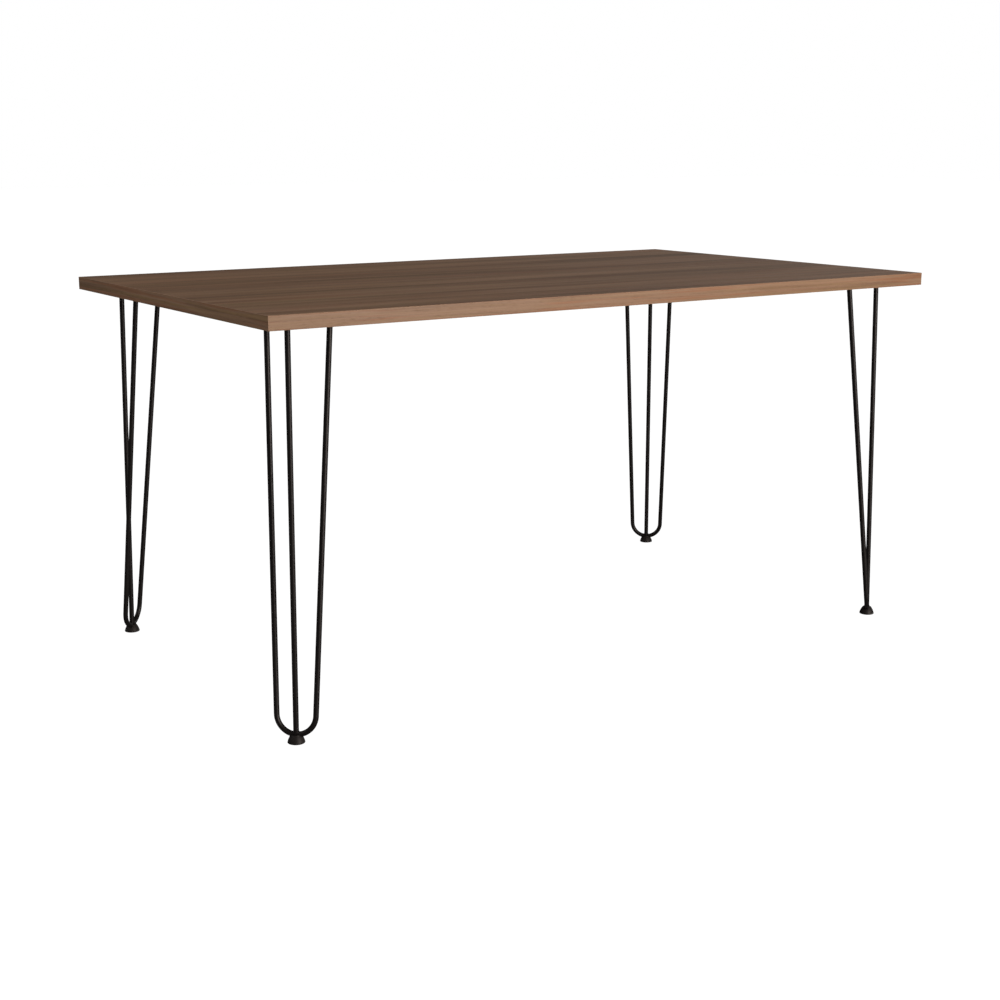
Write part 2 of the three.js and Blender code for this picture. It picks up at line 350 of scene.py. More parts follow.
def wood_grain_group():
    """Straight wood grain along the vector's X: tone bands, streaks, fibres and pores."""
    if "Wood grain" in bpy.data.node_groups:
        return bpy.data.node_groups["Wood grain"]
    grey = (0.5, 0.5, 0.5, 1.0)
    tree, given, out = new_group(
        "Wood grain",
        [
            ("Vector", "NodeSocketVector", None),
            ("Light", "NodeSocketColor", grey),
            ("Middle", "NodeSocketColor", grey),
            ("Dark", "NodeSocketColor", grey),
            ("Red", "NodeSocketColor", grey),
            ("Yellow", "NodeSocketColor", grey),
            ("Wear and sheen", "NodeSocketFloat", 0.0),
            ("Roughness", "NodeSocketFloat", 0.5),
        ],
        [("Color", "NodeSocketColor"), ("Roughness", "NodeSocketFloat"), ("Height", "NodeSocketFloat")],
    )
    link = tree.links.new
    # The grain wanders gently from side to side along the board
    wander = node(tree, "ShaderNodeTexNoise", (-5, 2))
    fill(wander, Scale=1.7, Detail=1.0)
    link(given.outputs["Vector"], wander.inputs["Vector"])
    drift = node(tree, "ShaderNodeVectorMath", (-4, 2), operation="MULTIPLY_ADD")
    drift.inputs[1].default_value = WANDER
    link(wander.outputs["Color"], drift.inputs[0])
    link(given.outputs["Vector"], drift.inputs[2])
    vector = drift.outputs[0]

    bands = stretched_noise(tree, vector, (0.55, 8.0, 8.0), detail=2.0, place=(-3, 4))
    rings = stretched_noise(
        tree, vector, (1.0, 30.0, 30.0), detail=3.0, roughness=0.6, offset=(3.1, 0.7, 1.9), place=(-3, 3)
    )
    streaks = stretched_noise(
        tree, vector, (2.4, 260.0, 260.0), detail=3.0, roughness=0.62, offset=(0.4, 5.3, 2.2), place=(-3, 2)
    )
    fibres = stretched_noise(
        tree, vector, (12.0, 900.0, 900.0), detail=2.0, roughness=0.6, offset=(7.7, 1.4, 0.3), place=(-3, 1)
    )
    pores = stretched_noise(
        tree, vector, (75.0, 2300.0, 2300.0), detail=1.0, roughness=0.5, offset=(2.6, 8.8, 4.1), place=(-3, 0)
    )
    tint = stretched_noise(
        tree, vector, (1.6, 170.0, 170.0), detail=2.0, roughness=0.55, offset=(9.2, 3.3, 6.4), place=(-3, -1)
    )

    def weighted(layer, weight):
        return maths(tree, "MULTIPLY", layer, weight)

    broad = maths(tree, "ADD", weighted(bands, BANDS_SHARE), weighted(rings, RINGS_SHARE), (0, 3))
    fine = maths(tree, "ADD", weighted(streaks, STREAKS_SHARE), weighted(fibres, FIBRES_SHARE), (0, 2))
    tone = maths(tree, "ADD", broad, fine, (1, 3))
    darker = remap(tree, tone, low=0.51, high=0.41, place=(2, 3))
    lighter = remap(tree, tone, low=0.49, high=0.59, place=(2, 2))
    reddish = remap(tree, tint, low=0.50, high=0.62)
    yellowish = remap(tree, tint, low=0.50, high=0.38)
    base = blend_colours(tree, darker, given.outputs["Middle"], given.outputs["Dark"], (3, 3))
    base = blend_colours(tree, lighter, base, given.outputs["Light"], (4, 3))
    base = blend_colours(tree, reddish, base, given.outputs["Red"], (5, 3), "MULTIPLY")
    base = blend_colours(tree, yellowish, base, given.outputs["Yellow"], (5, 2), "MULTIPLY")

    # Short open pores, thicker where the grain is dark
    open_pores = remap(tree, pores, low=0.60, high=0.70, place=(2, 0))
    thickness = remap(tree, streaks, low=0.62, high=0.36, to_low=0.25, to_high=1.0, place=(2, -1))
    pore_mask = maths(tree, "MULTIPLY", open_pores, thickness, (3, -1))
    pored = blend_colours(tree, weighted(pore_mask, PORE_STRENGTH), base, PORE_TINT, (6, 3), "MULTIPLY")
    # Rounded edges are a little paler: a painted highlight where the arris would catch the light
    rubbed_and_sheen = maths(tree, "MULTIPLY", given.outputs["Wear and sheen"], PAINTED_ARRIS_SHEEN, (5, 1))
    sheened_colour = blend_colours(tree, rubbed_and_sheen, pored, given.outputs["Light"], (7, 3))
    link(sheened_colour, out.inputs["Color"])

    dull = maths(tree, "MULTIPLY_ADD", fibres, FIBRE_ROUGHNESS, (4, -2))
    link(given.outputs["Roughness"], dull.node.inputs[2])
    rough = maths(tree, "MULTIPLY_ADD", pore_mask, PORE_ROUGHNESS, (5, -2))
    link(dull, rough.node.inputs[2])
    link(rough, out.inputs["Roughness"])

    relief = maths(tree, "MULTIPLY_ADD", streaks, STREAK_RELIEF, (4, -3))
    link(fibres, relief.node.inputs[2])
    link(maths(tree, "SUBTRACT", relief, pore_mask, (5, -3)), out.inputs["Height"])
    return tree


def coating_group():
    """An even coat with a fine orange-peel relief and patches that are duller or dusty."""
    if "Coating" in bpy.data.node_groups:
        return bpy.data.node_groups["Coating"]
    tree, given, out = new_group(
        "Coating",
        [
            ("Vector", "NodeSocketVector", None),
            ("Color", "NodeSocketColor", (0.1, 0.1, 0.1, 1.0)),
            ("Dust", "NodeSocketColor", (0.3, 0.29, 0.28, 1.0)),
            ("Wear and sheen", "NodeSocketFloat", 0.0),
            ("Roughness", "NodeSocketFloat", 0.4),
            ("Peel", "NodeSocketFloat", 900.0),
        ],
        [("Color", "NodeSocketColor"), ("Roughness", "NodeSocketFloat"), ("Height", "NodeSocketFloat")],
    )
    link = tree.links.new
    peel = node(tree, "ShaderNodeTexNoise", (-3, -1))
    fill(peel, Detail=2.0, Roughness=0.55)
    link(given.outputs["Vector"], peel.inputs["Vector"])
    link(given.outputs["Peel"], peel.inputs["Scale"])
    vector = given.outputs["Vector"]
    patches = stretched_noise(tree, vector, (23.0, 23.0, 9.0), detail=4.0, roughness=0.6, place=(-3, 2))
    specks = stretched_noise(tree, vector, (610.0, 610.0, 610.0), detail=1.0, roughness=0.5, place=(-3, 1))
    patchy = remap(tree, patches, low=0.50, high=0.72, to_low=0.0, to_high=DUST_STRENGTH)
    dusty = maths(tree, "MULTIPLY", patchy, remap(tree, specks, low=0.45, high=0.7))
    coat = blend_colours(tree, dusty, given.outputs["Color"], given.outputs["Dust"], (2, 2))
    rubbed_and_sheen = maths(tree, "MULTIPLY", given.outputs["Wear and sheen"], WORN_COAT, (2, 1))
    link(blend_colours(tree, rubbed_and_sheen, coat, given.outputs["Dust"], (3, 2)), out.inputs["Color"])
    uneven = maths(tree, "MULTIPLY_ADD", patches, PATCH_ROUGHNESS, (2, -1))
    link(given.outputs["Roughness"], uneven.node.inputs[2])
    link(maths(tree, "SUBTRACT", uneven, PATCH_ROUGHNESS / 2, (3, -1)), out.inputs["Roughness"])
    link(peel.outputs["Fac"], out.inputs["Height"])
    return tree


def surface_material(name, group, depth, **values):
    """A Principled material whose colour, roughness and relief come from a group on Object coordinates."""
    material = bpy.data.materials.new(name)
    material.use_nodes = True
    tree = material.node_tree
    link = tree.links.new
    shader = tree.nodes["Principled BSDF"]
    place = node(tree, "ShaderNodeTexCoord", (-7, 0))
    mapping = node(tree, "ShaderNodeMapping", (-6, 0))
    link(place.outputs["Object"], mapping.inputs["Vector"])
    effect = node(tree, "ShaderNodeGroup", (-4, 0), node_tree=group)
    link(mapping.outputs[0], effect.inputs["Vector"])
    # The edge mark: a painted highlight on rounded wood edges, edge wear on the coat
    wear_and_sheen = node(tree, "ShaderNodeAttribute", (-6, -2), attribute_name="wear_and_sheen")
    link(wear_and_sheen.outputs["Fac"], effect.inputs["Wear and sheen"])
    fill(effect, **values)
    bump = node(tree, "ShaderNodeBump", (-2, -2))
    fill(bump, Strength=1.0, Distance=depth)
    link(effect.outputs["Height"], bump.inputs["Height"])
    link(effect.outputs["Color"], shader.inputs["Base Color"])
    link(effect.outputs["Roughness"], shader.inputs["Roughness"])
    link(bump.outputs["Normal"], shader.inputs["Normal"])
    return material, mapping, shader


def opaque(rgb):
    return (*rgb, 1.0)


def wood_material(name, turn=(0.0, 0.0, 0.0), shift=(0.0, 0.0, 0.0), calm=0.0):
    """Wood grain along X, turned and shifted on the piece. calm draws its tones together."""
    board = settings().board
    middle = Vector(board.wood_middle)
    material, mapping, shader = surface_material(
        name,
        wood_grain_group(),
        depth=0.00008,
        Light=opaque(Vector(board.wood_light).lerp(middle, calm)),
        Middle=opaque(middle),
        Dark=opaque(Vector(board.wood_dark).lerp(middle, calm)),
        Red=opaque(board.red_tint),
        Yellow=opaque(Vector(board.yellow_tint).lerp(Vector((1.0, 1.0, 1.0)), calm)),
        Roughness=board.roughness,
    )
    fill(mapping, Rotation=turn, Location=shift)
    fill(shader, Specular_IOR_Level=0.35)
    return material


def coated_material(name, colour_value, roughness, peel, depth, metallic=0.0):
    material, _, shader = surface_material(
        name, coating_group(), depth, Color=opaque(colour_value), Roughness=roughness, Peel=peel
    )
    gloss_tint = opaque(settings().legs.gloss_tint)
    fill(shader, Metallic=metallic, Specular_IOR_Level=0.42, Specular_Tint=gloss_tint)
    return material


def chipboard_material(name):
    """Pressed wood chips: flat flakes of mixed tone."""
    board = settings().board
    material = bpy.data.materials.new(name)
    material.use_nodes = True
    tree = material.node_tree
    link = tree.links.new
    shader = tree.nodes["Principled BSDF"]
    place = node(tree, "ShaderNodeTexCoord", (-6, 0))
    mapping = node(tree, "ShaderNodeMapping", (-5, 0))
    fill(mapping, Scale=CHIPS)
    link(place.outputs["Object"], mapping.inputs["Vector"])
    flakes = node(tree, "ShaderNodeTexVoronoi", (-4, 0), feature="F1")
    fill(flakes, Scale=1.0, Randomness=1.0)
    link(mapping.outputs[0], flakes.inputs["Vector"])
    tone = node(tree, "ShaderNodeSeparateColor", (-3, 0))
    link(flakes.outputs["Color"], tone.inputs[0])
    chips = (opaque(board.chip_dark), opaque(board.chip_light))
    mixed = blend_colours(tree, tone.outputs[0], *chips, (-2, 0))
    link(mixed, shader.inputs["Base Color"])
    bump = node(tree, "ShaderNodeBump", (-2, -2))
    fill(bump, Strength=0.6, Distance=0.0003)
    link(flakes.outputs["Distance"], bump.inputs["Height"])
    link(bump.outputs["Normal"], shader.inputs["Normal"])
    distance = flakes.outputs["Distance"]
    rough = remap(tree, distance, low=0.0, high=1.0, to_low=0.85, to_high=0.97, place=(-2, -1))
    link(rough, shader.inputs["Roughness"])
    return material


# Meshes


def finish_piece(bm, name, material, nodes, smooth=SHARP_ANGLE):
    """Makes a bmesh a finished piece that rides on the table and stands for its CAD nodes."""
    bmesh.ops.remove_doubles(bm, verts=bm.verts, dist=MERGE)
    bmesh.ops.recalc_face_normals(bm, faces=bm.faces)
    mesh = bpy.data.meshes.new(name)
    bm.to_mesh(mesh)
    bm.free()
    mesh.shade_smooth()
    mesh.set_sharp_from_angle(angle=smooth)
    mesh.materials.append(material)
    piece = bpy.data.objects.new(name, mesh)
    bpy.context.scene.collection.objects.link(piece)
    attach(piece, BODY)
    if nodes:
        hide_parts(*nodes)
    return piece


def dress(node_name, material):
    """Gives a CAD node that stays its finished material."""
    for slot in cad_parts[node_name].material_slots:
        slot.material = material


def copy_of_node(node_name):
    """A bmesh of a CAD node, with its loose triangles joined into flat faces."""
    bm = bmesh.new()
    bm.from_mesh(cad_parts[node_name].data)
    bmesh.ops.remove_doubles(bm, verts=bm.verts, dist=MERGE_COPY)
    bmesh.ops.dissolve_limit(
        bm, angle_limit=math.radians(1), use_dissolve_boundaries=False, verts=bm.verts, edges=bm.edges
    )
    return bm


def round_edges(bm, edges, radius, segments):
    """Bevels edges and marks the new faces: the wood paints them paler as a painted highlight, the coat as
    wear.
    """
    made = bmesh.ops.bevel(
        bm, geom=edges, offset=radius, offset_type="OFFSET", affect="EDGES", segments=segments,
        profile=0.5, material=-1, clamp_overlap=True,
    )
    # This mark becomes a painted highlight on rounded wood edges, and edge wear on the coat
    wear_and_sheen = bm.loops.layers.float.get("wear_and_sheen") or bm.loops.layers.float.new("wear_and_sheen")
    for face in made["faces"]:
        for loop in face.loops:
            loop[wear_and_sheen] = 1.0


def ring(bm, centre, direction, radius, sides):
    """A circle of edges round a point, square to a direction."""
    turn = direction.to_track_quat("Z", "Y").to_matrix().to_4x4()
    made = bmesh.ops.create_circle(
        bm, cap_ends=False, segments=sides, radius=radius, matrix=Matrix.Translation(centre) @ turn
    )
    verts = made["verts"]
    edges = list({edge for vert in verts for edge in vert.link_edges})
    return verts, edges


def pull(bm, edges, offset):
    """Extrudes a ring of edges along an offset."""
    made = bmesh.ops.extrude_edge_only(bm, edges=edges)
    verts = [item for item in made["geom"] if isinstance(item, bmesh.types.BMVert)]
    bmesh.ops.translate(bm, verts=verts, vec=offset)
    return verts, [item for item in made["geom"] if isinstance(item, bmesh.types.BMEdge)
                   and all(vert in verts for vert in item.verts)]


def cut_flat(bm, height):
    """Cuts off what is above a height, and closes the cut."""
    everything = bm.verts[:] + bm.edges[:] + bm.faces[:]
    bmesh.ops.bisect_plane(
        bm, geom=everything, dist=TINY, plane_co=(0, 0, height), plane_no=(0, 0, 1), clear_outer=True
    )
    rim = [edge for edge in bm.edges if edge.is_boundary and all(
        abs(vert.co.z - height) < MERGE for vert in edge.verts)]
    bmesh.ops.holes_fill(bm, edges=rim, sides=0)


def turned(profile, steps):
    """A closed turned shape round Z from (radius, height) points, which start and end on the axis."""
    bm = bmesh.new()
    verts = [bm.verts.new((radius, 0.0, height)) for radius, height in profile]
    edges = [bm.edges.new(pair) for pair in zip(verts, verts[1:])]
    bmesh.ops.spin(
        bm, geom=verts + edges, cent=(0, 0, 0), axis=(0, 0, 1), dvec=(0, 0, 0), angle=math.tau,
        steps=steps, use_merge=True, use_duplicate=False,
    )
    bmesh.ops.remove_doubles(bm, verts=bm.verts, dist=TINY)
    bmesh.ops.recalc_face_normals(bm, faces=bm.faces)
    return bm


def arc(centre, radius, start, end, steps):
    """Points of an arc as (radius, height), between two angles in degrees."""
    angles = [math.radians(start + (end - start) * i / steps) for i in range(steps + 1)]
    return [(centre[0] + radius * math.cos(a), centre[1] + radius * math.sin(a)) for a in angles]


def quadratic(start, control, end, steps):
    """Points of a quadratic curve, without its two ends."""
    points = []
    for i in range(1, steps):
        t = i / steps
        weights = ((1 - t) ** 2, 2 * t * (1 - t), t ** 2)
        points.append(tuple(sum(w * p[k] for w, p in zip(weights, (start, control, end))) for k in (0, 1)))
    return points


def carve(bm, cutter):
    """Cuts one closed bmesh out of another, and returns the result."""
    meshes, objects = [], []
    for label, source in (("blank", bm), ("cutter", cutter)):
        mesh = bpy.data.meshes.new(label)
        source.to_mesh(mesh)
        source.free()
        meshes.append(mesh)
        objects.append(bpy.data.objects.new(label, mesh))
        bpy.context.scene.collection.objects.link(objects[-1])
    modifier = objects[0].modifiers.new("Cut", "BOOLEAN")
    modifier.operation = "DIFFERENCE"
    modifier.solver = "EXACT"
    modifier.object = objects[1]
    evaluated = objects[0].evaluated_get(bpy.context.evaluated_depsgraph_get())
    result = bmesh.new()
    result.from_mesh(evaluated.to_mesh())
    evaluated.to_mesh_clear()
    for made in objects:
        bpy.data.objects.remove(made)
    for mesh in meshes:
        bpy.data.meshes.remove(mesh)
    return result


# Legs


class Leg:
    """The places of one leg, in its own corner frame: X and Y run inwards from the table's corner."""

    def __init__(self, name):
        self.name = name
        low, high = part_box(f"foot_{name}")
        side_x = math.copysign(1, low.x + high.x)
        side_y = math.copysign(1, low.y + high.y)
        turn = math.atan2(-side_y, -side_x) - math.radians(45)
        corner = Vector((side_x * CAD_HIGH.x, side_y * CAD_HIGH.y, 0.0))
        self.matrix = Matrix.Translation(corner) @ Matrix.Rotation(turn, 4, "Z")
        sizes = settings().legs
        radius = sizes.rod_diameter / 2
        foot_low, foot_high = self.local_box("foot")
        plate_low, _ = self.local_box("mounting_plate")
        rod_low, rod_high = self.local_box("hairpin_rod")
        arm = plate_low.x + sizes.arm_width / 2
        reach = arm + sizes.rod_span
        middle = (foot_low + foot_high) / 2
        self.foot_radius = (foot_high.x - foot_low.x) / 2
        self.foot_height = foot_high.z
        self.plate_bottom = plate_low.z
        self.rod_top = rod_high.z
        self.low = Vector((middle.x, middle.y, rod_low.z + radius))
        self.tops = (Vector((reach, arm, rod_high.z)), Vector((arm, reach, rod_high.z)))
        self.centre_top = Vector((arm, arm, rod_high.z))
        self.measure_bend(sizes.bend_radius)

    def local_box(self, part):
        inverse = self.matrix.inverted()
        corners = [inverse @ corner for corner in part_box(f"{part}_{self.name}")]
        return (Vector(map(min, *corners)), Vector(map(max, *corners)))

    def measure_bend(self, bend_radius):
        """The bend touches both straight sides and the lowest point of the rod."""
        middle = (self.tops[0] + self.tops[1]) / 2
        self.across = (self.tops[1] - self.tops[0]).normalized()
        self.up = (middle - self.low).normalized()
        self.bend_centre = self.low + self.up * bend_radius
        rise = (middle - self.bend_centre).length
        spread = (self.tops[0] - middle).length
        slope = math.atan2(spread, rise) - math.asin(bend_radius / math.hypot(spread, rise))
        self.half_turn = math.pi / 2 - slope

    def bend_point(self, angle, bend_radius):
        """A point of the bend, at an angle from its lowest point."""
        return (self.bend_centre + self.across * math.sin(angle) * bend_radius
                - self.up * math.cos(angle) * bend_radius)


def hairpin_mesh(leg, radius, sides, steps):
    """One rod bent like a hairpin: a ring is spun round the bend and pulled up both sides."""
    bend_radius = settings().legs.bend_radius
    axis = leg.across.cross(leg.up)
    start = leg.bend_point(-leg.half_turn, bend_radius)
    end = leg.bend_point(leg.half_turn, bend_radius)
    bm = bmesh.new()
    verts, edges = ring(bm, start, leg.tops[0] - start, radius, sides)
    made = bmesh.ops.spin(
        bm, geom=verts + edges, cent=leg.bend_centre, axis=axis, dvec=(0, 0, 0),
        angle=leg.half_turn * 2, steps=steps, use_merge=False, use_duplicate=False,
    )
    last = [item for item in made["geom_last"] if isinstance(item, bmesh.types.BMEdge)]
    for rim, foot, top in ((edges, start, leg.tops[0]), (last, end, leg.tops[1])):
        pull(bm, rim, (top - foot) + (top - foot).normalized() * radius)
    cut_flat(bm, leg.rod_top)
    return bm


def mouth_height(leg, point, radius):
    """Height of the bend's upper surface, with a clearance in radius, over a point near its middle."""
    bend_radius = settings().legs.bend_radius
    offset = Vector((point.x - leg.low.x, point.y - leg.low.y, 0.0))
    along = offset.dot(leg.across)
    aside = (offset - leg.across * along).length
    rise = bend_radius - math.sqrt(max(bend_radius ** 2 - along ** 2, 0.0))
    return leg.low.z + rise + math.sqrt(max(radius ** 2 - aside ** 2, 0.0))


def centre_rod_mesh(leg, radius, sides):
    """A straight rod from the bend to the plate, with its lower end shaped to sit on the bend."""
    seat = radius + settings().legs.seat_gap
    direction = leg.centre_top - leg.low
    bm = bmesh.new()
    verts, edges = ring(bm, leg.low, direction, radius, sides)
    pull(bm, edges, direction + direction.normalized() * radius)
    cut_flat(bm, leg.rod_top)
    for vert in verts:
        height = mouth_height(leg, vert.co, seat)
        vert.co += direction * ((height - vert.co.z) / direction.z)
    closed = bmesh.ops.contextual_create(bm, geom=edges)
    hub = bmesh.ops.poke(bm, faces=closed["faces"], center_mode="MEAN")["verts"][0]
    hub.co.z = mouth_height(leg, hub.co, seat)
    return bm


def weld_bead(bm, centre, axis, radius, section, ripples, phase, lift=None):
    """A rippled weld bead round a rod. lift gives the height of its middle line over a point."""
    turn = axis.to_track_quat("Z", "Y").to_matrix().to_4x4()
    matrix = Matrix.Translation(centre) @ turn
    start = matrix @ Vector((radius, 0.0, 0.0))
    sideways = (matrix.to_3x3() @ Vector((0.0, 1.0, 0.0)))
    verts, edges = ring(bm, start, sideways, section, WELD_SIDES)
    before = set(bm.verts) - set(verts)
    bmesh.ops.spin(
        bm, geom=verts + edges, cent=centre, axis=axis, dvec=(0, 0, 0), angle=math.tau,
        steps=WELD_STEPS, use_merge=True, use_duplicate=False,
    )
    inverse = matrix.inverted()
    for vert in set(bm.verts) - before:
        local = inverse @ vert.co
        angle = math.atan2(local.y, local.x)
        middle = Vector((math.cos(angle) * radius, math.sin(angle) * radius, 0.0))
        swell = 1.0 + WELD_SWELL * math.sin(angle * ripples + phase)
        vert.co = matrix @ (middle + (local - middle) * swell)
        if lift:
            vert.co.z += lift(matrix @ middle) - (matrix @ middle).z


# Operators


class HAIRPIN_OT_sheets(bpy.types.Operator):
    """Dress the face sheet and the underside sheet in wood grain"""

    bl_idname = "hairpin_table.sheets"
    bl_label = "Sheets"

    def execute(self, context):
        dress("face_sheet", wood_material("Face sheet", shift=(0.31, 0.12, 0.0)))
        dress("underside_sheet", wood_material("Underside sheet", shift=(2.7, 1.4, 0.6)))
        return {"FINISHED"}


class HAIRPIN_OT_core(bpy.types.Operator):
    """Dress the core board as pressed chips"""

    bl_idname = "hairpin_table.core"
    bl_label = "Core board"

    def execute(self, context):
        dress("core_board", chipboard_material("Core board"))
        return {"FINISHED"}


class HAIRPIN_OT_edge_bands(bpy.types.Operator):
    """Model the four edge bands, with rounded outer edges"""

    bl_idname = "hairpin_table.edge_bands"
    bl_label = "Edge bands"

    def execute(self, context):
        board = settings().board
        quarter = math.radians(90)
        looks = {
            "front": wood_material("Front band", shift=(1.1, 0.0, 0.32), calm=board.band_calm),
            "back": wood_material("Back band", shift=(3.9, 0.0, 0.57), calm=board.band_calm),
            "left": wood_material("Left band", turn=(0.0, 0.0, quarter), shift=(5.3, 0.0, 0.11)),
            "right": wood_material("Right band", turn=(0.0, 0.0, quarter), shift=(8.6, 0.0, 0.83)),
        }
        for side in SIDES:
            self.band(side, looks[side], board.arris)
        return {"FINISHED"}

    def band(self, side, material, radius):
        low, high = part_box(f"edge_band_{side}")
        size = high - low
        bm = bmesh.new()
        made = bmesh.ops.create_cube(bm, size=1.0)
        bmesh.ops.scale(bm, verts=made["verts"], vec=size)
        bmesh.ops.translate(bm, verts=made["verts"], vec=(low + high) / 2)
        thin = 0 if size.x < size.y else 1
        outer = CAD_LOW[thin] if low[thin] < 0 else CAD_HIGH[thin]
        edges = [edge for edge in bm.edges if all(abs(vert.co[thin] - outer) < LEVEL for vert in edge.verts)]
        if thin == 0:
            edges = [edge for edge in edges if abs(edge.verts[0].co.z - edge.verts[1].co.z) < LEVEL]
        round_edges(bm, edges, radius, ARRIS_STEPS)
        finish_piece(bm, f"band_{side}", material, [f"edge_band_{side}"])


class HAIRPIN_OT_plates(bpy.types.Operator):
    """Model the mounting plates, with softened cut edges"""

    bl_idname = "hairpin_table.plates"
    bl_label = "Mounting plates"

    def execute(self, context):
        sizes = settings().legs
        material = coated_material(
            "Powder coated plate", sizes.steel, roughness=0.42, peel=1100.0, depth=0.000005
        )
        for name in LEGS:
            bm = copy_of_node(f"mounting_plate_{name}")
            sharp = [edge for edge in bm.edges if len(edge.link_faces) == 2
                     and edge.calc_face_angle(0.0) > CUT_ANGLE]
            round_edges(bm, sharp, sizes.plate_edge, EDGE_STEPS)
            finish_piece(bm, f"plate_{name}", material, [f"mounting_plate_{name}"])
        return {"FINISHED"}


class HAIRPIN_OT_rods(bpy.types.Operator):
    """Model the hairpin rods and the centre rods"""

    bl_idname = "hairpin_table.rods"
    bl_label = "Rods"

    def execute(self, context):
        sizes = settings().legs
        radius = sizes.rod_diameter / 2
        material = coated_material(
            "Powder coated rod", sizes.steel, roughness=0.42, peel=1100.0, depth=0.000005
        )
        for name in LEGS:
            leg = Leg(name)
            for label, bm in (("hairpin", hairpin_mesh(leg, radius, ROD_SIDES, BEND_STEPS)),
                              ("centre", centre_rod_mesh(leg, radius, ROD_SIDES))):
                bm.transform(leg.matrix)
                finish_piece(bm, f"{label}_{name}", material, [f"{label}_rod_{name}"])
        return {"FINISHED"}


class HAIRPIN_OT_welds(bpy.types.Operator):
    """Add the weld beads between the rods and the plates, and on the bends"""

    bl_idname = "hairpin_table.welds"
    bl_label = "Welds"

    def execute(self, context):
        sizes = settings().legs
        radius = sizes.rod_diameter / 2
        section = sizes.weld_radius
        lifted = radius + section * FOOT_WELD_LIFT
        material = coated_material(
            "Powder coated weld", sizes.steel, roughness=0.44, peel=900.0, depth=0.00001
        )
        chance = random.Random(7)
        for name in LEGS:
            leg = Leg(name)
            bm = bmesh.new()
            for top in (*leg.tops, leg.centre_top):
                centre = Vector((top.x, top.y, leg.plate_bottom - section * WELD_DROP))
                weld_bead(bm, centre, Vector((0, 0, 1)), radius + section * WELD_OUT, section,
                          chance.choice(WELD_RIPPLES), chance.uniform(0, math.tau))
            weld_bead(bm, leg.low.copy(), Vector((0, 0, 1)), radius, section * FOOT_WELD,
                      FOOT_WELD_RIPPLES, chance.uniform(0, math.tau),
                      lift=lambda point, leg=leg: mouth_height(leg, point, lifted))
            bm.transform(leg.matrix)
            finish_piece(bm, f"welds_{name}", material, [])
        return {"FINISHED"}


class HAIRPIN_OT_feet(bpy.types.Operator):
    """Model the feet: turned caps with a groove for the bend"""

    bl_idname = "hairpin_table.feet"
    bl_label = "Feet"

    def execute(self, context):
        sizes = settings().legs
        material = coated_material(
            "Foot plastic", sizes.plastic, roughness=0.55, peel=1500.0, depth=0.00001
        )
        for name in LEGS:
            leg = Leg(name)
            reach = sizes.rod_diameter / 2 + sizes.seat_gap
            bm = carve(self.blank(leg, sizes), hairpin_mesh(leg, reach, ROD_SIDES, BEND_STEPS))
            bm.transform(leg.matrix)
            finish_piece(bm, f"cap_{name}", material, [f"foot_{name}"], SHARP_FOOT)
        return {"FINISHED"}

    def blank(self, leg, sizes):
        base, soft, height = leg.foot_radius, sizes.foot_round, leg.foot_height
        rim = sizes.rod_diameter / 2 + sizes.foot_wall
        start = (base, soft)
        end = (rim, height - soft / 2)
        shoulder = (base - sizes.shoulder_inset, height - sizes.shoulder_drop)
        profile = [
            (0.0, 0.0),
            *arc((base - soft, soft), soft, -90, 0, 5),
            *quadratic(start, shoulder, end, 10),
            *arc((rim - soft / 2, height - soft / 2), soft / 2, 0, 90, 4),
            (0.0, height),
        ]
        bm = turned(profile, FOOT_STEPS)
        bmesh.ops.translate(bm, verts=bm.verts, vec=(leg.low.x, leg.low.y, 0.0))
        return bm


